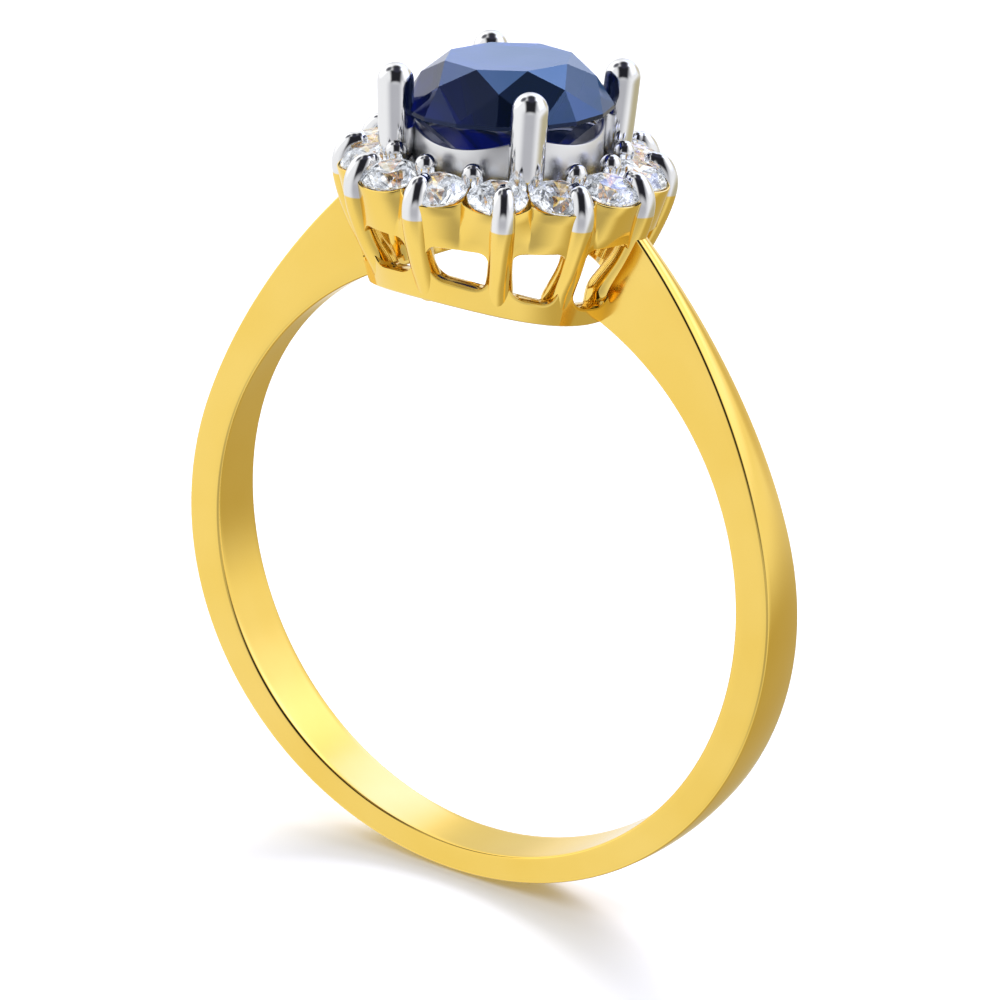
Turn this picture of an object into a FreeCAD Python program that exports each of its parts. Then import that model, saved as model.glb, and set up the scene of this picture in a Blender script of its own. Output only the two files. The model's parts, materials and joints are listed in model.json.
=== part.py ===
import FreeCAD, Part
import math
import os

from FreeCAD import Vector

# Halo engagement ring, in millimetres. The origin is the centre of the finger hole, +Y runs along the
# finger, +Z points up through the head and +X to the right. Angles are in degrees, counted about +Z
# from +X for the head, and about the finger axis from +X for the shank.

# Shank
FINGER_RADIUS = 8.5
SIDE_RADIUS = 9.53             # outside of the band level with the finger axis
BOTTOM_RADIUS = 9.26           # outside of the band at its lowest point
SHOULDER_START = 15.0          # height angle at which the shoulders begin to rise
SHOULDER_TOP = 66.8            # height angle at which they meet the head
SHOULDER_RISE = 1.67
SHOULDER_CURVE = 2.3
WIDEST_BAND = 1.88
WIDEST_AT = -0.52              # sine of the height angle where the band is widest
BAND_TAPER = 0.63
BAND_EDGE = 0.10               # bevel between the flat sides and the outside
BAND_DOME = 0.06
HOLE_EDGE = 0.09               # bevel along the finger hole
CREASE_DEPTH = 0.12            # depth of the sides' crease below the bevel
SHOULDER_CREASE = 0.38         # how much deeper it is where the shoulders meet the head
CREASE_LEAN = 0.07             # how far the shoulders' sides swell at their crease
SECTION_STEP = 7.5

# Gallery under the halo
RAIL_FOOT_RADIUS = 3.50
RAIL_FOOT_Z = 8.0
GALLERY_FLARE = 0.28           # growth of the gallery's radius for each millimetre of height
GALLERY_THICKNESS = 0.72
SILL_RADIUS = 9.20             # the rail's top edge follows this radius about the finger axis
SEAM_Z = 9.65                  # where the rail's posts meet the wall's
WINDOW_TOP_Z = 10.30
WINDOW_CORNER = 0.44
WALL_TOP_Z = 11.60
WALL_RADIUS = 4.18             # outside of the wall between its bulges
BULGE_PITCH_RADIUS = 3.48      # one bulge outside each stone, tapering down to the plain wall
BULGE_RADIUS = 1.06
BULGE_FOOT_RADIUS = 0.74
WALL_INNER_RADIUS = 3.10
CREST_RADIUS = 1.22            # the wall's top dips under each stone along this radius
CREST_DIP_Z = 11.34

# Halo stones
STONE_COUNT = 14
STONE_PITCH_RADIUS = 3.68
STONE_PHASE = -86.0            # angle of the first stone
STONE_DIAMETER = 1.60
STONE_GIRDLE_Z = 11.62
STONE_LEAN = 15.0              # each stone leans outward, its inner edge up
WELL_LEDGE = 0.14              # ledge left round each drilled well for the stone to rest on
WELL_FOOT_RADIUS = 0.30        # each well tapers downwards
PLATE_TOP_Z = 11.46
PLATE_THICKNESS = 0.50
PLATE_INNER_RADIUS = 1.15

# Outer claws: angles for one quarter of the head, and the wire's line as radius and height
CLAW_QUARTER = (0.0, 29.6, 57.8, 90.0)
CLAW_RADIUS = 0.33
GALLERY_RELIEF = 0.20          # the rail and the claws stand this far clear of the finger hole
CLAW_LINE = ((2.93, 7.60), (3.34, 8.60), (3.52, 9.00), (3.87, 9.68), (4.18, 10.48),
             (4.31, 11.10), (4.27, 11.48), (4.07, 11.76))

# Shared inner claws, one at each junction of two stones
BEAD_PITCH_RADIUS = 3.14
BEAD_STEM_RADIUS = 0.17
BEAD_RADIUS = 0.30
BEAD_CENTRE_Z = 12.00
BEAD_FOOT_Z = 11.36            # the stems stand in the wall and the plate

# Centre setting
SAPPHIRE_DIAMETER = 5.66
SAPPHIRE_GIRDLE_Z = 13.17
SAPPHIRE_TILT = 3.5            # the stone sits slightly off level, its +X side up
COLLET_TOP_Z = 12.42           # half way between two claws; the rim rises to the claws
COLLET_RIM_CURVE = 4.6
COLLET_RISE = 0.38
COLLET_TOP_RADIUS = 2.58
COLLET_FOOT_RADIUS = 2.55
COLLET_THICKNESS = 0.26
SEAT_CLEARANCE = 0.01
CENTRE_CLAW_ANGLE = 47.5
CENTRE_CLAW_GAP = 6.0          # a junction this close to a centre claw needs no inner claw
CENTRE_CLAW_FOOT = (3.00, 11.40)
CENTRE_CLAW_HEAD = (3.12, 13.80)
CENTRE_CLAW_FOOT_RADIUS = 0.47
CENTRE_CLAW_HEAD_RADIUS = 0.49

# Round brilliant cut, as fractions of the stone's diameter: table, star tip and lower half widths,
# then crown, girdle and pavilion heights
DIAMOND_CUT = (0.56, 0.76, 0.20, 0.155, 0.030, 0.430)
SAPPHIRE_CUT = (0.62, 0.83, 0.22, 0.215, 0.020, 0.420)
FACETS = 8

Z_AXIS = Vector(0, 0, 1)
Y_AXIS = Vector(0, 1, 0)
ORIGIN = Vector(0, 0, 0)
HALO_PITCH = 360.0 / STONE_COUNT
LONG = 30.0                    # longer than anything it cuts


def around(radius, angle, z):
    """Point at a radius and angle about the head's axis."""
    turn = math.radians(angle)
    return Vector(radius * math.cos(turn), radius * math.sin(turn), z)


def revolved(outline):
    """Solid of revolution about the head's axis from (radius, z) corners."""
    corners = [Vector(radius, 0, z) for radius, z in outline]
    wire = Part.makePolygon(corners + corners[:1])
    return Part.Face(wire).revolve(ORIGIN, Z_AXIS, 360)


def post(radius, height, base):
    return Part.makeCylinder(radius, height, base, Z_AXIS)


def across_finger(radius):
    """Cylinder along the finger axis."""
    return Part.makeCylinder(radius, LONG, Vector(0, -LONG / 2, 0), Y_AXIS)


def turned(shape, angle):
    copy = shape.copy()
    copy.rotate(ORIGIN, Z_AXIS, angle)
    return copy


def cut_by(shape, tools):
    for tool in tools:
        shape = shape.cut(tool)
    return shape


def claw_angles():
    """The outer claws' angles: one quarter of the head, mirrored about both planes."""
    angles = set()
    for angle in CLAW_QUARTER:
        angles.update((angle % 360, -angle % 360, (180 - angle) % 360, (180 + angle) % 360))
    return sorted(angles)


def stone_angles():
    return [STONE_PHASE + HALO_PITCH * number for number in range(STONE_COUNT)]


def junction_angles():
    return [angle + HALO_PITCH / 2 for angle in stone_angles()]


def centre_claw_angles():
    return (CENTRE_CLAW_ANGLE, 180 - CENTRE_CLAW_ANGLE, 180 + CENTRE_CLAW_ANGLE, 360 - CENTRE_CLAW_ANGLE)


def beside_centre_claw(angle):
    gaps = [abs((angle - claw + 180) % 360 - 180) for claw in centre_claw_angles()]
    return min(gaps) < CENTRE_CLAW_GAP


# ---------------------------------------------------------------- shank

def shoulder_share(height_angle):
    """0 below the shoulders, 1 where they meet the head."""
    return max(0.0, (height_angle - SHOULDER_START) / (SHOULDER_TOP - SHOULDER_START))


def band_outside(height_angle):
    turn = math.radians(height_angle)
    bottom = BOTTOM_RADIUS if height_angle < 0 else SIDE_RADIUS
    ellipse = SIDE_RADIUS * bottom / math.hypot(bottom * math.cos(turn), SIDE_RADIUS * math.sin(turn))
    return ellipse + SHOULDER_RISE * shoulder_share(height_angle) ** SHOULDER_CURVE


def band_width(height_angle):
    return WIDEST_BAND - BAND_TAPER * (math.sin(math.radians(height_angle)) - WIDEST_AT) ** 2


def band_section(angle):
    """Closed section of the band at an angle about the finger axis."""
    turn = math.radians(angle)
    height_angle = math.degrees(math.asin(math.sin(turn)))
    outside = band_outside(height_angle)
    half = band_width(height_angle) / 2
    share = min(1.0, shoulder_share(height_angle))
    crease = outside - BAND_EDGE - CREASE_DEPTH - SHOULDER_CREASE * share ** 2
    swell = half + CREASE_LEAN * share
    inset = 0.10
    inner = FINGER_RADIUS - inset
    inner_half = half - HOLE_EDGE - inset

    def at(radius, y):
        return Vector(radius * math.cos(turn), y, radius * math.sin(turn))

    front = [at(inner, -inner_half), at(FINGER_RADIUS + HOLE_EDGE, -half), at(crease, -swell),
             at(outside - BAND_EDGE, -half), at(outside, BAND_EDGE - half)]
    back = [Vector(point.x, -point.y, point.z) for point in reversed(front)]
    dome = Part.Arc(front[-1], at(outside + BAND_DOME, 0), back[0]).toShape()
    sides = [Part.makeLine(start, end) for start, end in zip(front[:-1], front[1:])]
    sides += [dome]
    sides += [Part.makeLine(start, end) for start, end in zip(back[:-1], back[1:])]
    sides += [Part.makeLine(back[-1], front[0])]
    return Part.Wire(sides)


def shank(claws):
    """Band with cathedral shoulders, open at the top where the head sits."""
    reach = 165.0
    steps = int(2 * reach / SECTION_STEP)
    sections = [band_section(-90 - reach + SECTION_STEP * step) for step in range(steps + 1)]
    band = Part.makeLoft(sections, True, False)
    head = revolved([(0, 6), (gallery_radius(6), 6), (gallery_radius(WALL_TOP_Z), WALL_TOP_Z),
                     (gallery_radius(WALL_TOP_Z), 16), (0, 16)])
    return cut_by(band, [across_finger(FINGER_RADIUS), head] + claws)


# ---------------------------------------------------------------- gallery

def gallery_radius(z):
    return RAIL_FOOT_RADIUS + GALLERY_FLARE * (z - RAIL_FOOT_Z)


def gallery_cup():
    """Flared ring from the finger hole up to the windows' heads."""
    foot, head = RAIL_FOOT_Z - 1, WINDOW_TOP_Z + 0.1
    return revolved([(gallery_radius(foot) - GALLERY_THICKNESS, foot), (gallery_radius(foot), foot),
                     (gallery_radius(head), head), (gallery_radius(head) - GALLERY_THICKNESS, head)])


def window(first_claw, next_claw):
    """Opening between two neighbouring claws, with round corners, cut straight out from the axis."""
    middle = (first_claw + next_claw) / 2
    chord = 2 * gallery_radius(SEAM_Z) * math.sin(math.radians(next_claw - first_claw) / 2)
    half = chord / 2 - CLAW_RADIUS * 0.78
    sill = math.sqrt(SILL_RADIUS ** 2 - (gallery_radius(9) * math.cos(math.radians(middle))) ** 2)
    block = Part.makeBox(LONG, 2 * half, WINDOW_TOP_Z - sill, Vector(1.0, -half, sill))
    along = [edge for edge in block.Edges if abs(edge.tangentAt(edge.FirstParameter).x) > 0.9]
    return turned(block.makeFillet(WINDOW_CORNER, along), middle)


def windows():
    angles = claw_angles()
    return [window(first, following) for first, following in zip(angles, angles[1:] + [360.0])]


def scalloped_wall():
    """Wall with a tapering bulge outside each stone, whose top dips under the stones."""
    height = WALL_TOP_Z - WINDOW_TOP_Z
    core = post(WALL_RADIUS, height, Vector(0, 0, WINDOW_TOP_Z))
    bulges = []
    for angle in stone_angles():
        foot = around(BULGE_PITCH_RADIUS, angle, WINDOW_TOP_Z)
        bulges.append(Part.makeCone(BULGE_FOOT_RADIUS, BULGE_RADIUS, height, foot, Z_AXIS))
    wall = core.multiFuse(bulges).cut(post(WALL_INNER_RADIUS, LONG, ORIGIN))
    crests = []
    for angle in stone_angles():
        start = around(WALL_INNER_RADIUS - 1, angle, CREST_DIP_Z + CREST_RADIUS)
        crests.append(Part.makeCylinder(CREST_RADIUS, LONG, start, around(1, angle, 0)))
    return cut_by(wall, crests)


def well(angle):
    """Tapered hole under a halo stone."""
    radius = STONE_DIAMETER / 2 - WELL_LEDGE
    hole = revolved([(0, WINDOW_TOP_Z - 1), (WELL_FOOT_RADIUS, WINDOW_TOP_Z - 1),
                     (WELL_FOOT_RADIUS, WINDOW_TOP_Z), (radius, CREST_DIP_Z - 0.04),
                     (radius, LONG), (0, LONG)])
    hole.translate(around(STONE_PITCH_RADIUS, angle, 0))
    return hole


def gallery(claws, set_in_wall):
    """The head's lower rail and its scalloped wall, split half way up the windows."""
    cup = cut_by(gallery_cup(), windows())
    wall = cut_by(scalloped_wall(), [well(angle) for angle in stone_angles()])
    upper = Part.makeBox(LONG, LONG, LONG, Vector(-LONG / 2, -LONG / 2, SEAM_Z))
    lower = Part.makeBox(LONG, LONG, LONG, Vector(-LONG / 2, -LONG / 2, SEAM_Z - LONG))
    rail = cut_by(cup.common(lower), [across_finger(FINGER_RADIUS + GALLERY_RELIEF)] + claws)
    wall = cut_by(cup.common(upper).fuse(wall), claws + set_in_wall)
    return rail, wall


def halo_plate():
    """Flat ring inside the wall that carries the inner claws and the centre setting."""
    foot = PLATE_TOP_Z - PLATE_THICKNESS
    return revolved([(PLATE_INNER_RADIUS, foot), (WALL_INNER_RADIUS, foot),
                     (WALL_INNER_RADIUS, PLATE_TOP_Z), (PLATE_INNER_RADIUS, PLATE_TOP_Z)])


# ---------------------------------------------------------------- stones

def brilliant(diameter, cut, girdle_z):
    """Round brilliant on the head's axis, its girdle's top edge at girdle_z."""
    table, star, lower, crown, girdle, pavilion = cut
    rim = diameter / 2
    table_z = girdle_z + crown * diameter
    rim_foot_z = girdle_z - girdle * diameter
    culet = Vector(0, 0, rim_foot_z - pavilion * diameter)
    half_turn = 180.0 / FACETS
    slant = math.cos(math.radians(half_turn))
    star_z = table_z - crown * diameter * (star * slant - table) / (1 - table)
    lower_z = culet.z + pavilion * diameter * lower * slant
    faces = []

    def facet(*corners):
        faces.append(Part.Face(Part.makePolygon(list(corners) + [corners[0]])))

    def on_rim(z, steps):
        return around(rim, steps * half_turn, z)

    facet(*[around(rim * table, 2 * step * half_turn, table_z) for step in range(FACETS)])
    for step in range(0, 2 * FACETS, 2):
        before, after = (step - 1) * half_turn, (step + 1) * half_turn
        corner, following = (around(rim * table, turn * half_turn, table_z) for turn in (step, step + 2))
        star_before, star_after = (around(rim * star, angle, star_z) for angle in (before, after))
        lower_before, lower_after = (around(rim * lower, angle, lower_z) for angle in (before, after))
        facet(corner, star_after, following)
        facet(corner, star_before, on_rim(girdle_z, step), star_after)
        facet(culet, lower_after, on_rim(rim_foot_z, step), lower_before)
        for side in (step, step + 1):
            top = (on_rim(girdle_z, side), on_rim(girdle_z, side + 1))
            foot = (on_rim(rim_foot_z, side), on_rim(rim_foot_z, side + 1))
            facet(star_after, top[0], top[1])
            facet(top[0], foot[0], foot[1], top[1])
            facet(lower_after, foot[1], foot[0])
    return Part.makeSolid(Part.makeShell(faces))


def halo_stones():
    stone = brilliant(STONE_DIAMETER, DIAMOND_CUT, STONE_GIRDLE_Z)
    stone.rotate(Vector(0, 0, STONE_GIRDLE_Z), Y_AXIS, STONE_LEAN)
    stones = []
    for angle in stone_angles():
        placed = turned(stone, angle)
        placed.translate(around(STONE_PITCH_RADIUS, angle, 0))
        stones.append(placed)
    return stones


def tilted(shape):
    """A shape leaning as the centre stone does."""
    shape.rotate(Vector(0, 0, SAPPHIRE_GIRDLE_Z), Y_AXIS, -SAPPHIRE_TILT)
    return shape


def sapphire():
    return tilted(brilliant(SAPPHIRE_DIAMETER, SAPPHIRE_CUT, SAPPHIRE_GIRDLE_Z))


def sapphire_seat():
    """Smooth envelope of the centre stone, for cutting its seat."""
    table, _, _, crown, girdle, pavilion = (share * SAPPHIRE_DIAMETER for share in SAPPHIRE_CUT)
    rim = SAPPHIRE_DIAMETER / 2 + SEAT_CLEARANCE
    table_z = SAPPHIRE_GIRDLE_Z + crown
    rim_foot_z = SAPPHIRE_GIRDLE_Z - girdle
    return tilted(revolved([(0, rim_foot_z - pavilion), (rim, rim_foot_z), (rim, SAPPHIRE_GIRDLE_Z),
                            (table / 2, table_z), (0, table_z)]))


# ---------------------------------------------------------------- claws and centre setting

def outer_claw(angle):
    """Round wire from the rail up the gallery, bent in over the stones, with a round end."""
    points = [Vector(radius, 0, z) for radius, z in CLAW_LINE]
    line = Part.BSplineCurve()
    line.interpolate(points)
    start = line.tangent(line.FirstParameter)[0]
    section = Part.Wire(Part.makeCircle(CLAW_RADIUS, points[0], start))
    wire = Part.Wire(line.toShape()).makePipeShell([section], True, False)
    claw = wire.fuse(Part.makeSphere(CLAW_RADIUS, points[-1]))
    return turned(claw, angle).cut(across_finger(FINGER_RADIUS + GALLERY_RELIEF))


def inner_claw(angle):
    """Short stem with a rounded head, shared by two stones."""
    stem = post(BEAD_STEM_RADIUS, BEAD_CENTRE_Z - BEAD_FOOT_Z, around(BEAD_PITCH_RADIUS, angle, BEAD_FOOT_Z))
    return stem.fuse(Part.makeSphere(BEAD_RADIUS, around(BEAD_PITCH_RADIUS, angle, BEAD_CENTRE_Z)))


def centre_claw(angle):
    """Stout claw that widens upwards and leans slightly out, with a round end."""
    foot = around(CENTRE_CLAW_FOOT[0], angle, CENTRE_CLAW_FOOT[1])
    head = around(CENTRE_CLAW_HEAD[0], angle, CENTRE_CLAW_HEAD[1])
    lean = head - foot
    shaft = Part.makeCone(CENTRE_CLAW_FOOT_RADIUS, CENTRE_CLAW_HEAD_RADIUS, lean.Length, foot, lean)
    return shaft.fuse(Part.makeSphere(CENTRE_CLAW_HEAD_RADIUS, head))


def centre_collet():
    """Tapered rim under the centre stone, dipping between the claws and rising towards them."""
    high = COLLET_TOP_Z + COLLET_RISE
    rim = revolved([(COLLET_FOOT_RADIUS - COLLET_THICKNESS, PLATE_TOP_Z), (COLLET_FOOT_RADIUS, PLATE_TOP_Z),
                    (COLLET_TOP_RADIUS, high), (COLLET_TOP_RADIUS - COLLET_THICKNESS, high)])
    dips = []
    for angle in (0, 90, 180, 270):
        middle = Vector(0, 0, COLLET_TOP_Z + COLLET_RIM_CURVE)
        dip = Part.makeCylinder(COLLET_RIM_CURVE, LONG, middle, around(1, angle, 0))
        dips.append(tilted(dip))
    return cut_by(rim, dips + [sapphire_seat()])


def build():
    """Every piece of the ring, by name."""
    stones = halo_stones()
    claws = [outer_claw(angle) for angle in claw_angles()]
    centre_claws = [centre_claw(angle) for angle in centre_claw_angles()]
    inner_claws = [inner_claw(angle) for angle in junction_angles() if not beside_centre_claw(angle)]
    rail, wall = gallery(claws, stones + inner_claws + centre_claws)
    pieces = {
        "shank": shank(claws),
        "gallery_rail": rail,
        "gallery_wall": wall,
        "halo_plate": cut_by(halo_plate(), inner_claws + centre_claws),
        "centre_collet": centre_collet(),
        "sapphire": sapphire(),
    }
    for number, claw in enumerate(claws, 1):
        pieces[f"outer_claw_{number:02d}"] = cut_by(claw, stones)
    for number, claw in enumerate(inner_claws, 1):
        pieces[f"inner_claw_{number:02d}"] = cut_by(claw, stones + centre_claws)
    for number, stone in enumerate(stones, 1):
        pieces[f"diamond_{number:02d}"] = stone
    for number, claw in enumerate(centre_claws, 1):
        pieces[f"centre_claw_{number}"] = cut_by(claw, stones + [sapphire_seat()])
    return pieces


def main():
    os.makedirs("parts", exist_ok=True)
    for name, shape in build().items():
        shape.exportStep(f"parts/{name}.step")
        print(f"{name:16s} solids {len(shape.Solids)}  volume {shape.Volume:8.3f}  valid {shape.isValid()}")


main()
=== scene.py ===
import json
import math

import bmesh
import bpy
from mathutils import Matrix, Vector


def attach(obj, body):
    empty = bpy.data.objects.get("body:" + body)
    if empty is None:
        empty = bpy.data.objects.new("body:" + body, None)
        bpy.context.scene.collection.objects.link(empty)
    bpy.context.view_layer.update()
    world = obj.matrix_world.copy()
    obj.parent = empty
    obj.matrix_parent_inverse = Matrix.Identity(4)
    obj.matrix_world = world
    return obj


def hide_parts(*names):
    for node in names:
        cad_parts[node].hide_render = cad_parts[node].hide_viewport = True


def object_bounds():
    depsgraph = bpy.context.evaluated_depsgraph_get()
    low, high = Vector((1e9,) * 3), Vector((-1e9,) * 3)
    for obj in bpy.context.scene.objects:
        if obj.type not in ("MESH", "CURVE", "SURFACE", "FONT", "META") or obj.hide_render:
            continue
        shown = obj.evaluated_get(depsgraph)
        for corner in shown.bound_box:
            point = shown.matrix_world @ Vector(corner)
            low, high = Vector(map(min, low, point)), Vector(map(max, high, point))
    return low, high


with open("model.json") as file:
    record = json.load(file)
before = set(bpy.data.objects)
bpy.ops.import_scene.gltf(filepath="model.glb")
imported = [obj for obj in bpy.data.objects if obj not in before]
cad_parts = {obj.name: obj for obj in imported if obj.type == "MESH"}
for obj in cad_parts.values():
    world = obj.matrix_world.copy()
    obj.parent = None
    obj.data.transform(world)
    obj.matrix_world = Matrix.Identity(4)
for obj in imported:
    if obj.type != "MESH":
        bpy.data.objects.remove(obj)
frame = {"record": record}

cad_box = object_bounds()
record = frame["record"]

# Lengths are in millimetres unless a name says otherwise, and make_piece() turns them into metres.
# The finger hole's axis is Y and Z points up through the head. Angles are in degrees.
MM = 0.001

# Driving sizes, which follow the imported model's
FINGER_RADIUS = record["mounts"][0]["dims"]["r_mm"]
SIDE_RADIUS = 9.53
BOTTOM_RADIUS = 9.26
SHOULDER_START = 15.0
SHOULDER_TOP = 66.8
SHOULDER_RISE = 1.67
SHOULDER_CURVE = 2.3
WIDEST_BAND = 1.88
WIDEST_AT = -0.52
BAND_TAPER = 0.63
HOLE_EDGE = 0.09               # radius of the edge along the finger hole
OUTER_EDGE = 0.085             # radius of the edge between the flat sides and the outside
BAND_DOME = 0.06
SHOULDER_FLATTENING = 0.015    # how much lower the dome is at the head
SHOULDER_NARROWING = 0.04      # how much narrower each half of the outside is at the head

GALLERY_FOOT_RADIUS = 3.50
GALLERY_FOOT_Z = 8.0
GALLERY_FLARE = 0.28
GALLERY_THICKNESS = 0.66
SILL_RADIUS = 9.20
WALL_BOTTOM_Z = 10.22
WALL_CREST_Z = 11.36
WALL_JUNCTION_Z = 11.56
WALL_RADII = (4.22, 4.54)      # outside of the wall at the middle of a bulge, foot and top
WALL_SCALLOPS = (0.05, 0.42)
WALL_SKIN = 0.30

STONE_COUNT = 14
STONE_PITCH_RADIUS = 3.68
STONE_PHASE = -86.0
STONE_DIAMETER = 1.60
STONE_GIRDLE_Z = 11.62
STONE_LEAN = 15.0
HALO_PITCH = 360.0 / STONE_COUNT

CLAW_QUARTER = (0.0, 29.6, 57.8, 90.0)
CLAW_LINE = ((3.02, 7.90), (3.23, 8.60), (3.44, 9.00), (3.85, 9.68), (4.17, 10.48), (4.31, 11.08),
             (4.28, 11.46), (4.13, 11.73), (3.93, 11.83))
CLAW_WIDTHS = (0.36, 0.42, 0.38, 0.335, 0.335, 0.34, 0.33, 0.295, 0.23)
PLATING_Z = 10.92              # the white plating of the claw tips ends here

BEAD_LINE = ((3.14, 11.38, 0.18), (3.14, 11.60, 0.21), (3.14, 11.80, 0.27), (3.15, 12.00, 0.30))
PLATE_TOP_Z = 11.46
PLATE_INNER_RADIUS = 1.15

SAPPHIRE_DIAMETER = 5.66
SAPPHIRE_GIRDLE_Z = 13.17
SAPPHIRE_TILT = 3.5
SAPPHIRE_TURN = 4.0
COLLET_TOP_Z = 12.42
COLLET_RIM_CURVE = 4.6
COLLET_RISE = 0.38
COLLET_TOP_RADIUS = 2.60
COLLET_FOOT_RADIUS = 2.61
COLLET_THICKNESS = 0.24
CENTRE_CLAW_ANGLE = 47.5
CENTRE_CLAW_GAP = 6.0
CENTRE_CLAW_LINE = ((2.99, 11.40), (2.99, 11.55), (3.00, 11.74), (3.02, 12.10), (3.09, 13.20), (3.12, 13.80))
CENTRE_CLAW_WIDTHS = (0.24, 0.30, 0.40, 0.475, 0.485, 0.49)

# Brilliant cuts, as shares of the diameter: table, star and lower half widths, crown, girdle and
# pavilion heights
DIAMOND_CUT = (0.56, 0.76, 0.20, 0.155, 0.030, 0.430)
SAPPHIRE_CUT = (0.62, 0.83, 0.22, 0.215, 0.020, 0.420)
FACETS = 8


# ---------------------------------------------------------------- mesh helpers

def around(radius, angle, z):
    turn = math.radians(angle)
    return Vector((radius * math.cos(turn), radius * math.sin(turn), z))


def blend(a, b, share):
    return a + (b - a) * share


def smooth_step(share):
    share = min(1.0, max(0.0, share))
    return share * share * (3 - 2 * share)


def make_piece(name, vertices, faces, material, stands_for, crease_angle=35.0):
    """A piece of the ring from corners in millimetres, riding on the one body."""
    shape = bmesh.new()
    corners = [shape.verts.new(Vector(corner) * MM) for corner in vertices]
    for face in faces:
        shape.faces.new([corners[index] for index in face])
    bmesh.ops.remove_doubles(shape, verts=shape.verts, dist=1e-4 * MM)
    bmesh.ops.dissolve_degenerate(shape, edges=shape.edges, dist=1e-4 * MM)
    bmesh.ops.recalc_face_normals(shape, faces=shape.faces)
    mesh = bpy.data.meshes.new(name)
    shape.to_mesh(mesh)
    shape.free()
    piece = bpy.data.objects.new(name, mesh)
    bpy.context.scene.collection.objects.link(piece)
    mesh.materials.append(material)
    if crease_angle:
        mesh.shade_smooth()
        mesh.set_sharp_from_angle(angle=math.radians(crease_angle))
        weighted = piece.modifiers.new("even_shading", "WEIGHTED_NORMAL")
        weighted.keep_sharp = True
    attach(piece, "root")
    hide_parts(*stands_for)


def skin(rows, close_rows, close_row):
    """Faces over a grid of corners: rows of equal length, joined row to row."""
    count, size = len(rows), len(rows[0])
    vertices = [corner for row in rows for corner in row]
    faces = []
    for i in range(count if close_rows else count - 1):
        for j in range(size if close_row else size - 1):
            following, beside = (i + 1) % count, (j + 1) % size
            faces.append((i * size + j, following * size + j, following * size + beside, i * size + beside))
    return vertices, faces


def join(*parts):
    """One list of corners and faces from several."""
    vertices, faces = [], []
    for part_vertices, part_faces in parts:
        start = len(vertices)
        vertices += list(part_vertices)
        faces += [tuple(index + start for index in face) for face in part_faces]
    return vertices, faces


def spline(knots, steps):
    """Points on a Catmull-Rom curve through tuples of numbers, steps to a span."""
    padded = [tuple(2 * a - b for a, b in zip(knots[0], knots[1]))] + list(knots)
    padded.append(tuple(2 * a - b for a, b in zip(knots[-1], knots[-2])))
    points = []
    for index in range(1, len(padded) - 2):
        window = padded[index - 1:index + 3]
        for step in range(steps):
            t = step / steps
            weights = (-t + 2 * t * t - t ** 3, 2 - 5 * t * t + 3 * t ** 3,
                       t + 4 * t * t - 3 * t ** 3, -t * t + t ** 3)
            points.append(tuple(sum(w * value for w, value in zip(weights, column)) / 2
                                for column in zip(*window)))
    points.append(tuple(knots[-1]))
    return points


def sweep(line, angle, sides=28, steps=6, cap=6):
    """Round bar with a domed end along (radius, z, half width) knots, standing at an angle of the head."""
    samples = spline(line, steps)
    sideways = around(1, angle + 90, 0)
    centres = [around(radius, angle, z) for radius, z, _ in samples]
    rows = []
    for index, (centre, sample) in enumerate(zip(centres, samples)):
        ahead = centres[min(index + 1, len(centres) - 1)] - centres[max(index - 1, 0)]
        ahead.normalize()
        outward = sideways.cross(ahead).normalized()
        rows.append(bar_ring(centre, sideways, outward, sample[2], sides))
    for step in range(1, cap + 1):
        lift = math.radians(90 * step / cap)
        width = max(samples[-1][2] * math.cos(lift), 1e-4)
        centre = centres[-1] + ahead * samples[-1][2] * math.sin(lift)
        rows.append(bar_ring(centre, sideways, outward, width, sides))
    vertices, faces = skin(rows, False, True)
    faces.append(tuple(range(sides)))
    return vertices, faces


def bar_ring(centre, sideways, outward, width, sides):
    ring = []
    for side in range(sides):
        turn = 2 * math.pi * side / sides
        ring.append(centre + sideways * width * math.cos(turn) + outward * width * math.sin(turn))
    return ring


# ---------------------------------------------------------------- materials

def new_material(name):
    material = bpy.data.materials.new(name)
    material.use_nodes = True
    nodes, links = material.node_tree.nodes, material.node_tree.links
    return material, nodes, links, nodes["Principled BSDF"]


def object_noise(nodes, links, scale, detail=3.0, stretch=(1, 1, 1)):
    place = nodes.new("ShaderNodeTexCoord")
    mapping = nodes.new("ShaderNodeMapping")
    mapping.inputs["Scale"].default_value = stretch
    noise = nodes.new("ShaderNodeTexNoise")
    noise.inputs["Scale"].default_value = scale
    noise.inputs["Detail"].default_value = detail
    links.new(place.outputs["Object"], mapping.inputs["Vector"])
    links.new(mapping.outputs["Vector"], noise.inputs["Vector"])
    return noise.outputs["Fac"]


def ramp(nodes, links, factor, low, high, low_at=0.3, high_at=0.7):
    """Colours between two limits of a factor."""
    node = nodes.new("ShaderNodeValToRGB")
    node.color_ramp.elements[0].position = low_at
    node.color_ramp.elements[0].color = (*low, 1)
    node.color_ramp.elements[1].position = high_at
    node.color_ramp.elements[1].color = (*high, 1)
    links.new(factor, node.inputs["Fac"])
    return node.outputs["Color"]


def value_range(nodes, links, factor, low, high):
    node = nodes.new("ShaderNodeMapRange")
    node.inputs["To Min"].default_value = low
    node.inputs["To Max"].default_value = high
    links.new(factor, node.inputs["Value"])
    return node.outputs["Result"]


def polish(nodes, links, surface, low, high, depth):
    """Roughness that wanders a little, and the faint buffing lines of a polished casting."""
    wander = object_noise(nodes, links, 900.0)
    links.new(value_range(nodes, links, wander, low, high), surface.inputs["Roughness"])
    lines = object_noise(nodes, links, 2600.0, 2.0, (1, 0.12, 1))
    bump = nodes.new("ShaderNodeBump")
    bump.inputs["Strength"].default_value = 0.35
    bump.inputs["Distance"].default_value = depth * MM
    links.new(lines, bump.inputs["Height"])
    links.new(bump.outputs["Normal"], surface.inputs["Normal"])


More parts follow.
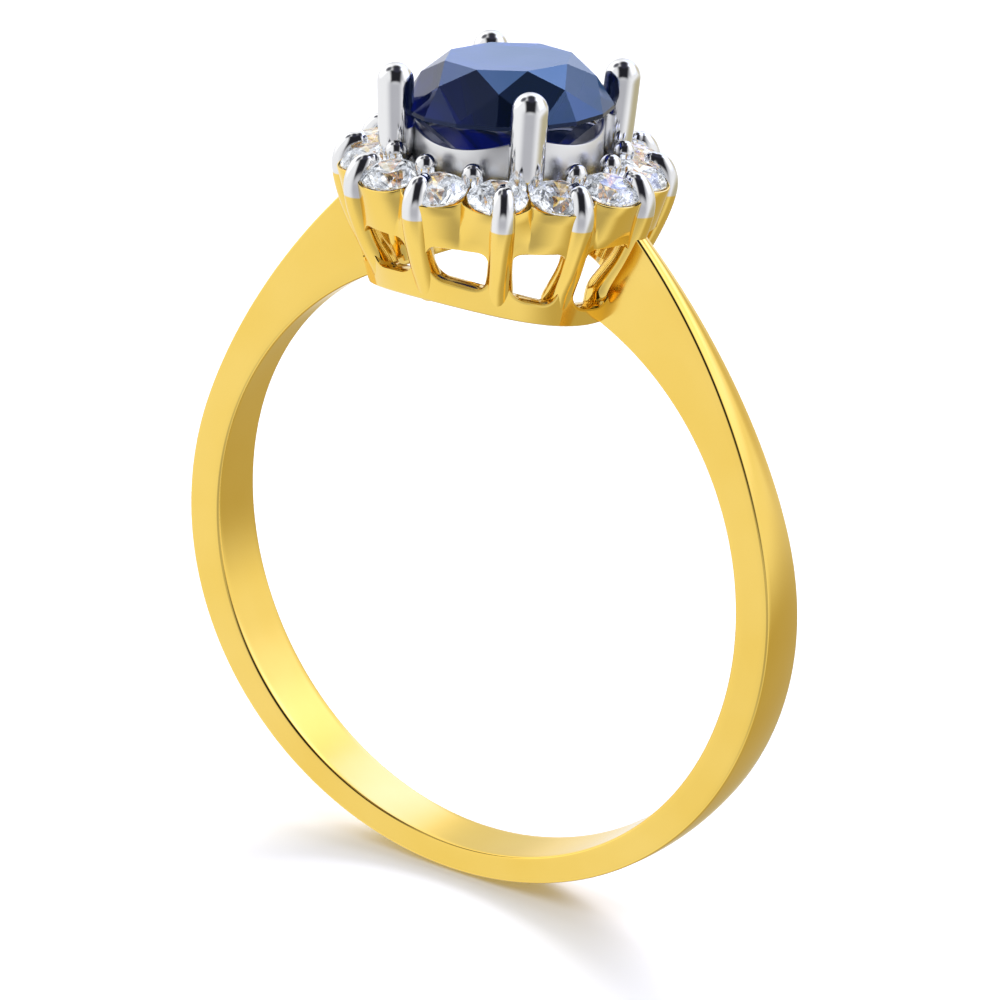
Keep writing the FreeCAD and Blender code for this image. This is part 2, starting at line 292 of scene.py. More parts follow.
GOLD_LIGHT = (0.955, 0.690, 0.180)
GOLD_DEEP = (0.910, 0.630, 0.130)
RHODIUM_LIGHT = (0.86, 0.865, 0.88)
RHODIUM_DEEP = (0.78, 0.785, 0.80)


def gold():
    material, nodes, links, surface = new_material("polished_yellow_gold")
    surface.inputs["Metallic"].default_value = 1.0
    tone = object_noise(nodes, links, 260.0)
    links.new(ramp(nodes, links, tone, GOLD_DEEP, GOLD_LIGHT), surface.inputs["Base Color"])
    polish(nodes, links, surface, 0.09, 0.15, 0.0006)
    return material


def rhodium(name, low, high):
    material, nodes, links, surface = new_material(name)
    surface.inputs["Metallic"].default_value = 1.0
    tone = object_noise(nodes, links, 400.0)
    links.new(ramp(nodes, links, tone, RHODIUM_DEEP, RHODIUM_LIGHT), surface.inputs["Base Color"])
    polish(nodes, links, surface, low, high, 0.0006)
    return material


def tipped_gold():
    """Gold wire whose tip is plated white above the plating line."""
    material, nodes, links, surface = new_material("gold_with_plated_tip")
    surface.inputs["Metallic"].default_value = 1.0
    tone = object_noise(nodes, links, 300.0)
    below = ramp(nodes, links, tone, GOLD_DEEP, GOLD_LIGHT)
    above = ramp(nodes, links, tone, RHODIUM_DEEP, RHODIUM_LIGHT)
    place = nodes.new("ShaderNodeTexCoord")
    split = nodes.new("ShaderNodeSeparateXYZ")
    links.new(place.outputs["Object"], split.inputs["Vector"])
    waver = object_noise(nodes, links, 700.0)
    edge = nodes.new("ShaderNodeMath")
    edge.operation = "MULTIPLY_ADD"
    edge.inputs[1].default_value = 0.12 * MM
    links.new(waver, edge.inputs[0])
    links.new(split.outputs["Z"], edge.inputs[2])
    mask = nodes.new("ShaderNodeMapRange")
    mask.interpolation_type = "SMOOTHSTEP"
    mask.inputs["From Min"].default_value = (PLATING_Z + 0.04) * MM
    mask.inputs["From Max"].default_value = (PLATING_Z + 0.09) * MM
    links.new(edge.outputs["Value"], mask.inputs["Value"])
    mix = nodes.new("ShaderNodeMix")
    mix.data_type = "RGBA"
    links.new(mask.outputs["Result"], mix.inputs["Factor"])
    links.new(below, mix.inputs[6])
    links.new(above, mix.inputs[7])
    links.new(mix.outputs[2], surface.inputs["Base Color"])
    polish(nodes, links, surface, 0.07, 0.13, 0.0006)
    return material


def painted_facet_glow(nodes, links, surface):
    """Painted glow: blue emission on the table and star facets and on one side of the crown, chosen by facet
    direction, standing in for the blue sent back through them.
    """
    shape = nodes.new("ShaderNodeNewGeometry")
    split = nodes.new("ShaderNodeSeparateXYZ")
    links.new(shape.outputs["True Normal"], split.inputs["Vector"])
    mask = nodes.new("ShaderNodeMapRange")
    mask.inputs["From Min"].default_value = 0.78
    mask.inputs["From Max"].default_value = 0.88
    mask.inputs["To Min"].default_value = 0.03
    mask.inputs["To Max"].default_value = 1.0
    links.new(split.outputs["Z"], mask.inputs["Value"])
    towards = nodes.new("ShaderNodeVectorMath")
    towards.operation = "DOT_PRODUCT"
    links.new(shape.outputs["True Normal"], towards.inputs[0])
    towards.inputs[1].default_value = (0.75, -0.08, 0.66)
    side = nodes.new("ShaderNodeMapRange")
    side.inputs["From Min"].default_value = 0.88
    side.inputs["From Max"].default_value = 0.98
    side.inputs["To Max"].default_value = 0.6
    links.new(towards.outputs["Value"], side.inputs["Value"])
    both = nodes.new("ShaderNodeMath")
    links.new(mask.outputs["Result"], both.inputs[0])
    links.new(side.outputs["Result"], both.inputs[1])
    links.new(both.outputs["Value"], surface.inputs["Emission Strength"])
    cloud = object_noise(nodes, links, 350.0)
    painted_glow_blues = ramp(nodes, links, cloud, (0.06, 0.14, 0.32), (0.10, 0.18, 0.40))
    links.new(painted_glow_blues, surface.inputs["Emission Color"])


def painted_sparkle(nodes, links, surface):
    """Painted glints: emission in small random cells, standing in for the light sent back by the facets of a
    well cut stone.
    """
    place = nodes.new("ShaderNodeTexCoord")
    cells = nodes.new("ShaderNodeTexVoronoi")
    cells.inputs["Scale"].default_value = 5200.0
    links.new(place.outputs["Object"], cells.inputs["Vector"])
    split = nodes.new("ShaderNodeSeparateColor")
    links.new(cells.outputs["Color"], split.inputs["Color"])
    painted_flashes = ramp(nodes, links, split.outputs["Red"], (0.0, 0.0, 0.0), (0.62, 0.66, 0.72), 0.45, 0.95)
    links.new(painted_flashes, surface.inputs["Emission Color"])
    surface.inputs["Emission Strength"].default_value = 0.5


def gem(name, low, high, refraction, zone_scale, depth, body=None):
    material, nodes, links, surface = new_material(name)
    surface.inputs["Transmission Weight"].default_value = 1.0
    surface.inputs["IOR"].default_value = refraction
    surface.inputs["Roughness"].default_value = 0.0
    surface.inputs["Specular Tint"].default_value = (*low, 1.0)
    zones = object_noise(nodes, links, zone_scale, 2.0, (1, 1, 3))
    links.new(ramp(nodes, links, zones, low, high), surface.inputs["Base Color"])
    lines = object_noise(nodes, links, 1800.0, 2.0)
    bump = nodes.new("ShaderNodeBump")
    bump.inputs["Strength"].default_value = 0.2
    bump.inputs["Distance"].default_value = depth * MM
    links.new(lines, bump.inputs["Height"])
    links.new(bump.outputs["Normal"], surface.inputs["Normal"])
    if body:
        # painted glow: blue emission on the sapphire's table, star facets and one crown side
        painted_facet_glow(nodes, links, surface)
        absorb = nodes.new("ShaderNodeVolumeAbsorption")
        absorb.inputs["Color"].default_value = (*body[0], 1)
        absorb.inputs["Density"].default_value = body[1] / MM
        links.new(absorb.outputs["Volume"], nodes["Material Output"].inputs["Volume"])
    else:
        # painted glints: emission in small cells on the diamonds
        painted_sparkle(nodes, links, surface)
    return material


GOLD = gold()
RHODIUM = rhodium("polished_rhodium", 0.07, 0.13)
SATIN_RHODIUM = rhodium("satin_rhodium", 0.30, 0.40)
TIPPED = tipped_gold()
DIAMOND = gem("colourless_diamond", (0.96, 0.98, 1.0), (1.0, 1.0, 1.0), 2.417, 500.0, 0.0002)
SAPPHIRE = gem("blue_sapphire", (0.30, 0.42, 0.95), (0.45, 0.58, 1.0), 1.62, 220.0, 0.0,
               ((0.05, 0.08, 0.64), 1.7))


# ---------------------------------------------------------------- shank

def shoulder_share(height_angle):
    return max(0.0, (height_angle - SHOULDER_START) / (SHOULDER_TOP - SHOULDER_START))


def band_outside(height_angle):
    turn = math.radians(height_angle)
    bottom = BOTTOM_RADIUS if height_angle < 0 else SIDE_RADIUS
    ellipse = SIDE_RADIUS * bottom / math.hypot(bottom * math.cos(turn), SIDE_RADIUS * math.sin(turn))
    return ellipse + SHOULDER_RISE * shoulder_share(height_angle) ** SHOULDER_CURVE


def band_width(height_angle):
    return WIDEST_BAND - BAND_TAPER * (math.sin(math.radians(height_angle)) - WIDEST_AT) ** 2


def corner_arc(centre, radius, start, end, steps):
    """Points on an arc in (radius, y), angles counted from the radius direction towards -y."""
    points = []
    for step in range(steps + 1):
        turn = math.radians(blend(start, end, step / steps))
        points.append((centre[0] + radius * math.cos(turn), centre[1] - radius * math.sin(turn)))
    return points


def band_half_section(height_angle):
    """Front half of the band's section, from the middle of the hole to the middle of the outside."""
    outside = band_outside(height_angle)
    share = smooth_step(shoulder_share(height_angle) / 1.1)
    half = band_width(height_angle) / 2
    outer_half = half - SHOULDER_NARROWING * share
    dome = BAND_DOME - SHOULDER_FLATTENING * share
    points = [(FINGER_RADIUS, -half * step / 4) for step in range(4)]
    hole_side = FINGER_RADIUS + HOLE_EDGE
    points += corner_arc((hole_side, -(half - HOLE_EDGE)), HOLE_EDGE, 180, 90, 5)
    shoulder = outside - OUTER_EDGE
    for step in range(1, 5):
        part = step / 5
        points.append((blend(hole_side, shoulder, part), -blend(half, outer_half, part ** 2)))
    points += corner_arc((shoulder, -(outer_half - OUTER_EDGE)), OUTER_EDGE, 90, 14, 6)
    flat = outer_half - OUTER_EDGE * 1.2
    for step in range(8, -1, -1):
        across = step / 9
        points.append((outside + dome * (1 - across ** 2), -flat * across))
    return points


def shank_row(angle):
    turn = math.radians(angle)
    height_angle = math.degrees(math.asin(max(-1.0, min(1.0, math.sin(turn)))))
    front = band_half_section(height_angle)
    back = [(radius, -y) for radius, y in front[-2:0:-1]]
    return [Vector((radius * math.cos(turn), y, radius * math.sin(turn))) for radius, y in front + back]


def gallery_radius(z):
    return GALLERY_FOOT_RADIUS + GALLERY_FLARE * (z - GALLERY_FOOT_Z)


def inside_head(point):
    return math.hypot(point.x, point.y) - (gallery_radius(point.z) - 0.12)


def meeting_angle(index):
    """Angle at which one line along the band meets the head."""
    low, high = 40.0, 89.0
    for _ in range(30):
        middle = (low + high) / 2
        if inside_head(shank_row(middle)[index]) > 0:
            low = middle
        else:
            high = middle
    return low


def build_shank():
    size = len(shank_row(0))
    right_ends = [meeting_angle(index) for index in range(size)]
    start = 30.0
    rows = []
    for step in range(181):
        rows.append(shank_row(180 - start + (180 + 2 * start) * step / 180))
    shoulder = 60
    left, right = [], []
    for step in range(1, shoulder + 1):
        share = step / shoulder
        samples = [shank_row(blend(start, end, share))[index] for index, end in enumerate(right_ends)]
        right.append(samples)
        left.append([Vector((-point.x, point.y, point.z)) for point in samples])
    rows = list(reversed(left)) + rows + right
    vertices, faces = skin(rows, False, True)
    faces.append(tuple(range(size)))
    faces.append(tuple(len(vertices) - 1 - index for index in range(size)))
    make_piece("shank_band", vertices, faces, GOLD, ["shank"])


# ---------------------------------------------------------------- gallery

def claw_angles():
    angles = set()
    for angle in CLAW_QUARTER:
        angles.update((angle % 360, -angle % 360, (180 - angle) % 360, (180 + angle) % 360))
    return sorted(angles)


def stone_angles():
    return [STONE_PHASE + HALO_PITCH * number for number in range(STONE_COUNT)]


def junction_angles():
    return [angle + HALO_PITCH / 2 for angle in stone_angles()]


def sill_z(angle, radius):
    return math.sqrt(SILL_RADIUS ** 2 - (radius * math.cos(math.radians(angle))) ** 2)


def foot_z(angle, radius):
    return math.sqrt(FINGER_RADIUS ** 2 - (radius * math.cos(math.radians(angle))) ** 2)


def window_loop(half_width, height, low_corner, high_corner, arc, straight):
    """Rounded rectangle as (across, up) with its matching points on the frame round it.

    The frame is the square from -1 to 1 across and from 0 to 1 up, walked the same way."""
    corners = ((1, 0, low_corner, -90), (1, 1, high_corner, 0),
               (-1, 1, high_corner, 90), (-1, 0, low_corner, 180))
    loop = []
    for number, (side, top, radius, first) in enumerate(corners):
        centre = (side * (half_width - radius), radius if top == 0 else height - radius)
        for step in range(arc + 1):
            turn = math.radians(first + 90 * step / arc)
            loop.append((centre[0] + radius * math.cos(turn), centre[1] + radius * math.sin(turn)))
        following = corners[(number + 1) % 4]
        radius_next = following[2]
        end = (following[0] * (half_width - radius_next),
               radius_next if following[1] == 0 else height - radius_next)
        turn = math.radians(first + 90)
        last = loop[-1]
        target = (end[0] + radius_next * math.cos(turn), end[1] + radius_next * math.sin(turn))
        for step in range(1, straight):
            share = step / straight
            loop.append((blend(last[0], target[0], share), blend(last[1], target[1], share)))
    return loop


def frame_loop(arc, straight):
    """The window loop's partners on the unit frame."""
    corners = ((1, 0), (1, 1), (-1, 1), (-1, 0))
    loop = []
    half = arc // 2
    for number, corner in enumerate(corners):
        before, after = corners[number - 1], corners[(number + 1) % 4]
        span = straight + arc
        for step in range(-half, half + straight):
            near = before if step < 0 else after
            share = abs(step) / span
            loop.append((blend(corner[0], near[0], share), blend(corner[1], near[1], share)))
    return loop


def build_basket():
    """Rail, posts and windows in one, cell by cell between neighbouring claws."""
    arc, straight = 8, 6
    rim = 0.05
    angles = claw_angles()
    parts = []
    for first, following in zip(angles, angles[1:] + [360.0]):
        parts.append(basket_cell(first, following, arc, straight, rim))
    vertices, faces = join(*parts)
    make_piece("gallery_basket", vertices, faces, GOLD, ["gallery_rail"])


def basket_cell(first, following, arc, straight, rim):
    middle = (first + following) / 2
    half_cell = (following - first) / 2
    window_top = WALL_BOTTOM_Z + 0.05
    mid_radius = gallery_radius(9.6)
    half_window = math.degrees((mid_radius * math.radians(half_cell) - 0.255) / mid_radius)
    sill_mid = sill_z(middle, mid_radius)
    height = window_top - sill_mid
    across_scale = mid_radius * math.radians(1)
    cell_top = window_top + 0.05

    def place(across, up, depth):
        """Corner at degrees across the cell and millimetres above the sill."""
        angle = middle + across
        z = blend(sill_z(angle, mid_radius), window_top, up / height)
        return around(gallery_radius(z) - depth, angle, z)

    def ring(grow, depth, flare=0.0):
        half_width = half_window * across_scale + grow + flare
        loop = window_loop(half_width, height + 2 * grow, 0.50 + grow, 0.24 + grow, arc, straight)
        return [place(across / across_scale, up - grow, depth) for across, up in loop]

    def edge(depth, inset):
        corners = []
        for across, up in frame_loop(arc, straight):
            angle = middle + across * half_cell
            radius = GALLERY_FOOT_RADIUS - depth
            low = foot_z(angle, gallery_radius(foot_z(angle, radius)) - depth) + inset
            z = blend(low, cell_top, up)
            corners.append(around(gallery_radius(z) - depth, angle, z))
        return corners

    def between(start, end, share):
        return [blend(a, b, share) for a, b in zip(start, end)]

    thickness = GALLERY_THICKNESS
    outer_edge, outer_rim = edge(0, 0.06), ring(rim, 0)
    flare = 0.18
    inner_edge, inner_rim = edge(thickness, 0.06), ring(rim, thickness, flare)
    rings = [edge(0.06, 0.0), outer_edge]
    rings += [between(outer_edge, outer_rim, share) for share in (0.35, 0.7, 0.93)]
    rings += [outer_rim, ring(rim * 0.3, rim * 0.3), ring(0, rim)]
    rings += [ring(0, thickness * 0.5, flare * 0.5), ring(0, thickness - rim, flare)]
    rings += [ring(rim * 0.3, thickness - rim * 0.3, flare), inner_rim]
    rings += [between(inner_rim, inner_edge, share) for share in (0.1, 0.5)]
    rings += [inner_edge, edge(thickness - 0.06, 0.0)]
    return skin(rings, True, True)


def wall_radius(angle, share):
    """Outside of the wall from its foot (share 0) to its top: a bulge grows outside each stone."""
    offset = (angle - STONE_PHASE + HALO_PITCH / 2) % HALO_PITCH - HALO_PITCH / 2
    return blend(*WALL_RADII, share) - blend(*WALL_SCALLOPS, share) * (2 * offset / HALO_PITCH) ** 2


def wall_foot_z(angle):
    """The wall's lower edge runs down into each claw with a rounded corner."""
    corner, start, span = 0.26, 0.46, 0.26
    angles = claw_angles() + [360.0]
    turn = angle % 360
    following = next(limit for limit in angles if limit > turn)
    first = angles[angles.index(following) - 1]
    across = abs(2 * (turn - first) / (following - first) - 1)
    rise = min(max((across - start) / span, 0.0), 1.0)
    return WALL_BOTTOM_Z - corner * (1 - math.sqrt(1 - rise ** 2))


def build_wall():
    """Scalloped wall with softened edges, and the tapered seat drilled under each stone."""
    per_stone = 28
    rows = []
    for step in range(per_stone * STONE_COUNT):
        angle = STONE_PHASE + HALO_PITCH / 2 + HALO_PITCH * step / per_stone
        offset = abs(2 * (step % per_stone) / per_stone - 1)
        climb = 1 - math.sqrt(max(0, 1 - offset ** 2 * 0.95))
        top = blend(WALL_CREST_Z, WALL_JUNCTION_Z, climb)
        foot = wall_foot_z(angle)
        inner = wall_radius(angle, 0) - 0.34
        sides = []
        for z in (foot + 0.05, foot + 0.3, blend(foot, top, 0.5), top - 0.3, top - 0.045):
            sides.append((wall_radius(angle, (z - WALL_BOTTOM_Z) / (WALL_CREST_Z - WALL_BOTTOM_Z)), z))
        low, high = sides[0][0], wall_radius(angle, 1)
        section = [(inner, foot + 0.04), (inner + 0.04, foot),
                   (low - 0.05, foot), (low - 0.015, foot + 0.015)]
        section += sides
        section += [(high - 0.013, top - 0.013), (high - 0.045, top), (high - 0.10, top - 0.02),
                    (high - WALL_SKIN - 0.2 * offset ** 3, top - 0.20), (inner, top - 0.5)]
        rows.append([around(radius, angle, z) for radius, z in section])
    seat = [(0.80, 11.54), (0.76, 11.52), (0.50, 11.18), (0.40, 11.02), (0.40, 10.60), (0.46, 10.58),
            (0.50, 10.62), (0.52, 11.10), (0.80, 11.48)]
    parts = [skin(rows, True, True)]
    for angle in stone_angles():
        vertices, faces = revolve(seat, Vector((0, 0, 0)), 32)
        parts.append(([halo_place(corner, angle) for corner in vertices], faces))
    vertices, faces = join(*parts)
    make_piece("halo_wall", vertices, faces, GOLD, ["gallery_wall"], 28.0)


def halo_place(corner, angle):
    """A corner drawn on the head's axis, moved to the halo at an angle and leant outward."""
    pivot = Vector((0, 0, STONE_GIRDLE_Z))
    leaning = Matrix.Rotation(math.radians(STONE_LEAN), 3, around(1, angle + 90, 0))
    return around(STONE_PITCH_RADIUS, angle, 0) + pivot + leaning @ (Vector(corner) - pivot)


def revolve(profile, centre, segments=48):
    rows = []
    for step in range(segments):
        rows.append([centre + around(radius, 360 * step / segments, z) for radius, z in profile])
    return skin(rows, True, True)


def build_plate():
    """Flat white ring inside the wall, with softened edges."""
    foot = PLATE_TOP_Z - 0.46
    ring = [(PLATE_INNER_RADIUS, foot + 0.04), (PLATE_INNER_RADIUS, PLATE_TOP_Z - 0.04),
            (PLATE_INNER_RADIUS + 0.04, PLATE_TOP_Z), (3.05, PLATE_TOP_Z), (3.09, PLATE_TOP_Z - 0.04),
            (3.09, foot + 0.04), (3.05, foot), (PLATE_INNER_RADIUS + 0.04, foot)]
    vertices, faces = revolve(ring, Vector((0, 0, 0)), 120)
    make_piece("halo_plate_ring", vertices, faces, SATIN_RHODIUM, ["halo_plate"])


# ---------------------------------------------------------------- claws

def build_outer_claws():
    line = [(radius, z, width) for (radius, z), width in zip(CLAW_LINE, CLAW_WIDTHS)]
    for number, angle in enumerate(claw_angles(), 1):
        foot = foot_z(angle, CLAW_LINE[0][0]) + 0.14
        kept = [knot for knot in line if knot[1] > foot + 0.25]
        drop = (foot - CLAW_LINE[0][1]) / (CLAW_LINE[1][1] - CLAW_LINE[0][1])
        start = (blend(CLAW_LINE[0][0], CLAW_LINE[1][0], drop), foot, CLAW_WIDTHS[0])
        vertices, faces = sweep([start] + kept, angle)
        name = f"outer_claw_{number:02d}"
        make_piece(f"{name}_wire", vertices, faces, TIPPED, [name])


def centre_claw_angles():
    return (CENTRE_CLAW_ANGLE, 180 - CENTRE_CLAW_ANGLE, 180 + CENTRE_CLAW_ANGLE, 360 - CENTRE_CLAW_ANGLE)


def build_centre_claws():
    line = [(radius, z, width) for (radius, z), width in zip(CENTRE_CLAW_LINE, CENTRE_CLAW_WIDTHS)]
    for number, angle in enumerate(centre_claw_angles(), 1):
        vertices, faces = sweep(line, angle, sides=40, cap=10)
        name = f"centre_claw_{number}"
        make_piece(f"{name}_post", vertices, faces, RHODIUM, [name])


def beside_centre_claw(angle):
    gaps = [abs((angle - claw + 180) % 360 - 180) for claw in centre_claw_angles()]
    return min(gaps) < CENTRE_CLAW_GAP


def build_inner_claws():
    free = [angle for angle in junction_angles() if not beside_centre_claw(angle)]
    for number, angle in enumerate(free, 1):
        vertices, faces = sweep(BEAD_LINE, angle, sides=24, cap=7)
        name = f"inner_claw_{number:02d}"
        make_piece(f"{name}_bead", vertices, faces, RHODIUM, [name])


def lean(point):
    """A point turned with the centre stone's lean."""
    pivot = Vector((0, 0, SAPPHIRE_GIRDLE_Z))
    return pivot + Matrix.Rotation(math.radians(-SAPPHIRE_TILT), 3, "Y") @ (Vector(point) - pivot)


def build_collet():
    """Tapered rim that dips between the claws, with a bevelled seat inside its edge."""
    rows = []
    steps = 192
    for step in range(steps):
        angle = 360 * step / steps
        offset = (angle + 45) % 90 - 45
        across = COLLET_TOP_RADIUS * math.sin(math.radians(offset))
        top = COLLET_TOP_Z + COLLET_RIM_CURVE - math.sqrt(COLLET_RIM_CURVE ** 2 - across ** 2)
        top += math.tan(math.radians(SAPPHIRE_TILT)) * COLLET_TOP_RADIUS * math.cos(math.radians(angle))
        high = COLLET_TOP_Z + COLLET_RISE
        outer = blend(COLLET_FOOT_RADIUS, COLLET_TOP_RADIUS, (top - PLATE_TOP_Z) / (high - PLATE_TOP_Z))
        thickness = COLLET_THICKNESS
        section = [(COLLET_FOOT_RADIUS, PLATE_TOP_Z - 0.1),
                   (blend(COLLET_FOOT_RADIUS, outer, 0.5), blend(PLATE_TOP_Z, top, 0.5)),
                   (outer, top - 0.05), (outer - 0.015, top - 0.015),
                   (outer - 0.05, top), (outer - 0.09, top - 0.01),
                   (outer - thickness, top - 0.24), (outer - thickness, top - 0.4),
                   (COLLET_FOOT_RADIUS - thickness, PLATE_TOP_Z - 0.1)]
        rows.append([around(radius, angle, z) for radius, z in section])
    vertices, faces = skin(rows, True, True)
    make_piece("centre_collet_rim", vertices, faces, SATIN_RHODIUM, ["centre_collet"])


# ---------------------------------------------------------------- stones

def brilliant(diameter, cut, girdle_z, turn):
    """Round brilliant on the head's axis: planar facets and a rim of narrow girdle facets."""
    table, star, lower, crown, girdle, pavilion = cut
    rim = diameter / 2
    table_z = girdle_z + crown * diameter
    rim_foot_z = girdle_z - girdle * diameter
    culet = Vector((0, 0, rim_foot_z - pavilion * diameter))
    half_turn = 180.0 / FACETS
    slant = math.cos(math.radians(half_turn))
    star_z = table_z - crown * diameter * (star * slant - table) / (1 - table)
    lower_z = culet.z + pavilion * diameter * lower * slant
    vertices, faces = [], []

    def facet(*corners):
        start = len(vertices)
        vertices.extend(corners)
        faces.append(tuple(range(start, start + len(corners))))

    def at(radius, steps, z):
        return around(radius, turn + steps * half_turn, z)

    facet(*[at(rim * table, 2 * step, table_z) for step in range(FACETS)])
    for step in range(0, 2 * FACETS, 2):
        star_before, star_after = at(rim * star, step - 1, star_z), at(rim * star, step + 1, star_z)
        lower_before, lower_after = at(rim * lower, step - 1, lower_z), at(rim * lower, step + 1, lower_z)
        corner = at(rim * table, step, table_z)
        facet(corner, star_after, at(rim * table, step + 2, table_z))
        facet(corner, star_before, at(rim, step, girdle_z), star_after)
        facet(culet, lower_after, at(rim, step, rim_foot_z), lower_before)
        for side in (step, step + 1):
            top = (at(rim, side, girdle_z), at(rim, side + 1, girdle_z))
            foot = (at(rim, side, rim_foot_z), at(rim, side + 1, rim_foot_z))
            facet(star_after, top[0], top[1])
            facet(top[0], foot[0], foot[1], top[1])
            facet(lower_after, foot[1], foot[0])
    return vertices, faces


def build_stones():
    for number, angle in enumerate(stone_angles(), 1):
        vertices, faces = brilliant(STONE_DIAMETER, DIAMOND_CUT, STONE_GIRDLE_Z, angle)
        corners = [halo_place(corner, angle) for corner in vertices]
        name = f"diamond_{number:02d}"
        make_piece(f"{name}_cut", corners, faces, DIAMOND, [name], None)
    vertices, faces = brilliant(SAPPHIRE_DIAMETER, SAPPHIRE_CUT, SAPPHIRE_GIRDLE_Z, SAPPHIRE_TURN)
    corners = [lean(corner) for corner in vertices]
    make_piece("sapphire_cut", corners, faces, SAPPHIRE, ["sapphire"], None)


# ---------------------------------------------------------------- studio

def build_floor():
    material, nodes, links, surface = new_material("pale_table")
    tone = object_noise(nodes, links, 12.0)
    links.new(ramp(nodes, links, tone, (0.93, 0.93, 0.93), (0.95, 0.95, 0.95)), surface.inputs["Base Color"])
    surface.inputs["Roughness"].default_value = 0.9
    surface.inputs["Specular IOR Level"].default_value = 0.0
    reach = 3.0
    level = cad_box[0].z - 0.00002
    mesh = bpy.data.meshes.new("floor")
    corners = [(x * reach, y * reach, level) for x, y in ((-1, -1), (1, -1), (1, 1), (-1, 1))]
    mesh.from_pydata(corners, [], [(0, 1, 2, 3)])
    floor = bpy.data.objects.new("floor", mesh)
    mesh.materials.append(material)
    bpy.context.scene.collection.objects.link(floor)
    floor.visible_glossy = False
    floor.visible_transmission = False


def direction(azimuth, elevation):
    """Unit vector at degrees about +Z from +X, and above the horizon."""
    turn, lift = math.radians(azimuth), math.radians(elevation)
    return Vector((math.cos(turn) * math.cos(lift), math.sin(turn) * math.cos(lift), math.sin(lift)))


class Surroundings:
    """The studio round the ring, as brightness by direction."""

    def __init__(self, base):
        world = bpy.data.worlds.new("studio")
        world.use_nodes = True
        bpy.context.scene.world = world
        self.nodes, self.links = world.node_tree.nodes, world.node_tree.links
        self.background = self.nodes["Background"]
        place = self.nodes.new("ShaderNodeTexCoord")
        self.way = place.outputs["Generated"]
        colour = self.nodes.new("ShaderNodeRGB")
        colour.outputs[0].default_value = (*base, 1)
        self.colour = colour.outputs[0]

    def along(self, axis):
        node = self.nodes.new("ShaderNodeVectorMath")
        node.operation = "DOT_PRODUCT"
        self.links.new(self.way, node.inputs[0])
        node.inputs[1].default_value = axis
        return node.outputs["Value"]

    def step(self, value, low, high):
        node = self.nodes.new("ShaderNodeMapRange")
        node.interpolation_type = "SMOOTHSTEP"
        node.inputs["From Min"].default_value = low
        node.inputs["From Max"].default_value = high
        self.links.new(value, node.inputs["Value"])
        return node.outputs["Result"]

    def times(self, a, b):
        node = self.nodes.new("ShaderNodeMath")
        node.operation = "MULTIPLY"
        self.links.new(a, node.inputs[0])
        self.links.new(b, node.inputs[1])
        return node.outputs["Value"]

    def paint(self, mask, colour):
        mix = self.nodes.new("ShaderNodeMix")
        mix.data_type = "RGBA"
        self.links.new(mask, mix.inputs["Factor"])
        self.links.new(self.colour, mix.inputs[6])
        mix.inputs[7].default_value = (*colour, 1)
        self.colour = mix.outputs[2]

    def spot(self, azimuth, elevation, radius, soft, colour):
        """Round patch of light or shade."""
        inner = math.cos(math.radians(max(radius - soft, 0)))
        outer = math.cos(math.radians(radius + soft))
        self.paint(self.step(self.along(direction(azimuth, elevation)), outer, inner), colour)

    def panel(self, azimuth, elevation, width, height, soft, colour):
        """Rectangular patch, sized in degrees, upright about its own middle."""
        ahead = direction(azimuth, elevation)
        side = direction(azimuth + 90, 0)
        up = ahead.cross(side)
        mask = self.step(self.along(ahead), 0.0, 0.15)
        for axis, size in ((side, width), (up, height)):
            edge, blur = math.sin(math.radians(size / 2)), math.sin(math.radians(soft))
            for sign in (1, -1):
                mask = self.times(mask, self.step(self.along(axis * sign), edge + blur, edge - blur))
        self.paint(mask, colour)

    def finish(self, strength, plain):
        """The camera sees the plain colour, and everything else the painted studio."""
        path = self.nodes.new("ShaderNodeLightPath")
        mix = self.nodes.new("ShaderNodeMix")
        mix.data_type = "RGBA"
        self.links.new(path.outputs["Is Camera Ray"], mix.inputs["Factor"])
        self.links.new(self.colour, mix.inputs[6])
        mix.inputs[7].default_value = (*plain, 1)
        self.links.new(mix.outputs[2], self.background.inputs["Color"])
        self.background.inputs["Strength"].default_value = strength


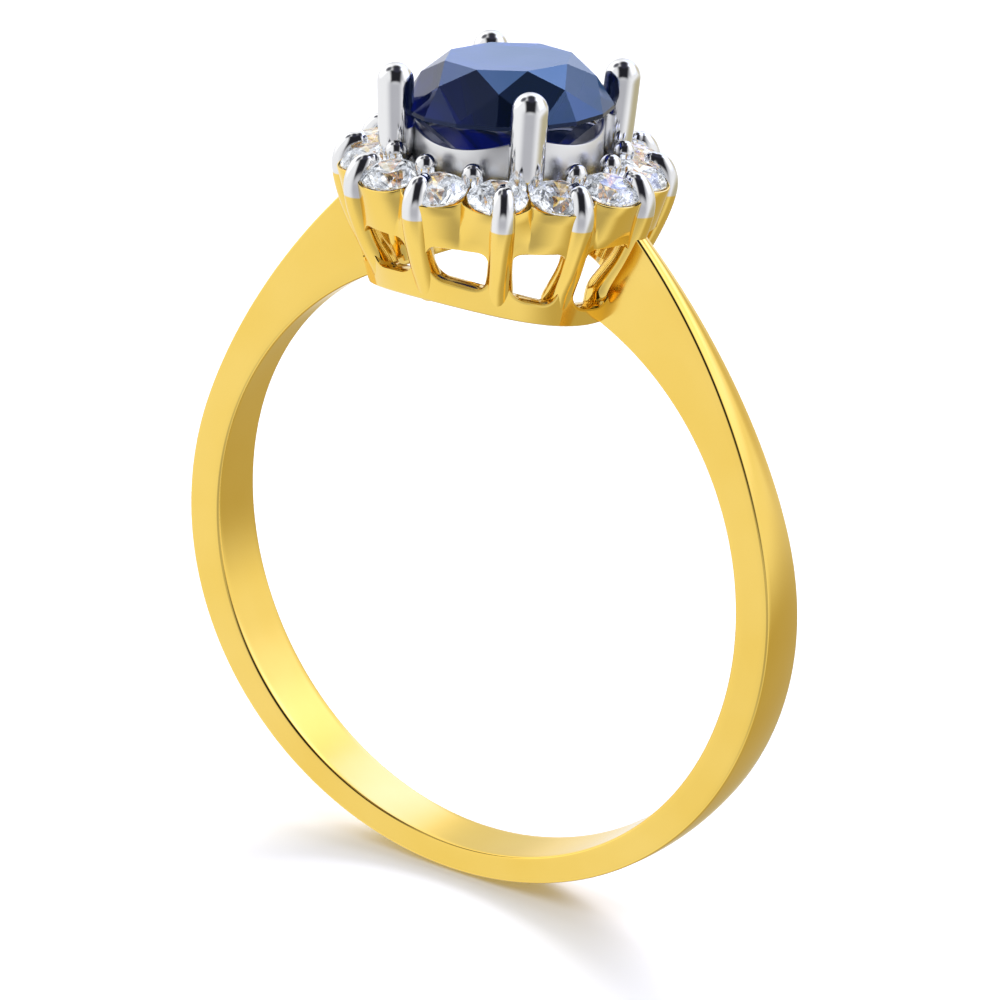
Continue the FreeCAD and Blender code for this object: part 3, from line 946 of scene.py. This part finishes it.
def build_studio():
    studio = Surroundings((1.0, 1.0, 1.0))
    studio.spot(60, -52, 46, 12, (0.54, 0.48, 0.31))
    studio.spot(84, 44, 30, 14, (1.2, 1.2, 1.25))
    studio.spot(96, 36, 11, 8, (1.18, 1.45, 3.0))
    studio.spot(124, 19, 10, 7, (0.84, 0.86, 0.90))
    studio.spot(34, 33, 15, 10, (1.3, 1.4, 1.9))
    studio.spot(50, 47, 14, 9, (1.7, 1.85, 2.7))
    studio.spot(75, 12, 12, 8, (0.72, 0.66, 0.5))
    studio.spot(180, 30, 28, 12, (1.4, 1.4, 1.4))
    studio.spot(192, 54, 13, 7, (0.12, 0.12, 0.14))
    studio.spot(5, 40, 24, 10, (1.3, 1.3, 1.3))
    studio.panel(-58, -18, 76, 40, 18, (0.52, 0.52, 0.55))
    studio.panel(-22, 40, 40, 60, 12, (0.55, 0.55, 0.58))
    studio.panel(-55, 44, 62, 76, 8, (0.02, 0.02, 0.025))
    studio.spot(112, 76, 17, 8, (0.04, 0.04, 0.045))
    studio.spot(-20, 84, 17, 8, (0.04, 0.04, 0.06))
    studio.finish(1.0, (1.0, 1.0, 1.0))


def area_light(name, azimuth, elevation, distance, size, watts):
    """Lamp aimed at the ring that lights the floor and stays out of every reflection."""
    light = bpy.data.lights.new(name, "AREA")
    light.size = size
    light.energy = watts
    lamp = bpy.data.objects.new(name, light)
    way = direction(azimuth, elevation)
    lamp.location = way * distance
    lamp.rotation_mode = "QUATERNION"
    lamp.rotation_quaternion = (-way).to_track_quat("-Z", "Y")
    lamp.visible_camera = False
    lamp.visible_glossy = False
    lamp.visible_transmission = False
    bpy.context.scene.collection.objects.link(lamp)


def build_lamps():
    area_light("key", 112, 36, 1.5, 0.7, 15.0)
    area_light("fill", -80, 80, 1.2, 1.6, 9.0)


CAMERA_AZIMUTH = 31.76
CAMERA_ELEVATION = 21.31
CAMERA_ROLL = 3.27
CAMERA_DISTANCE = 111.2
CAMERA_OFFSET = (0.47, 1.64)
CAMERA_LENS = 144.0
CAMERA_SENSOR = 36.0


def build_camera():
    azimuth, roll = math.radians(CAMERA_AZIMUTH), math.radians(CAMERA_ROLL)
    back = direction(CAMERA_AZIMUTH - 90, CAMERA_ELEVATION)
    level = Vector((math.cos(azimuth), math.sin(azimuth), 0))
    upright = back.cross(level)
    right = level * math.cos(roll) + upright * math.sin(roll)
    up = upright * math.cos(roll) - level * math.sin(roll)
    data = bpy.data.cameras.new("camera")
    data.lens = CAMERA_LENS
    data.sensor_width = CAMERA_SENSOR
    data.clip_start = 0.001
    camera = bpy.data.objects.new("camera", data)
    turn = Matrix((right, up, back)).transposed().to_4x4()
    place = right * CAMERA_OFFSET[0] + up * CAMERA_OFFSET[1] + back * CAMERA_DISTANCE
    camera.matrix_world = Matrix.Translation(place * MM) @ turn
    bpy.context.scene.collection.objects.link(camera)
    bpy.context.scene.camera = camera


build_camera()
build_shank()
build_basket()
build_wall()
build_plate()
build_outer_claws()
build_centre_claws()
build_inner_claws()
build_collet()
build_stones()
build_floor()
build_studio()
build_lamps()
bpy.context.scene.view_settings.view_transform = "Standard"
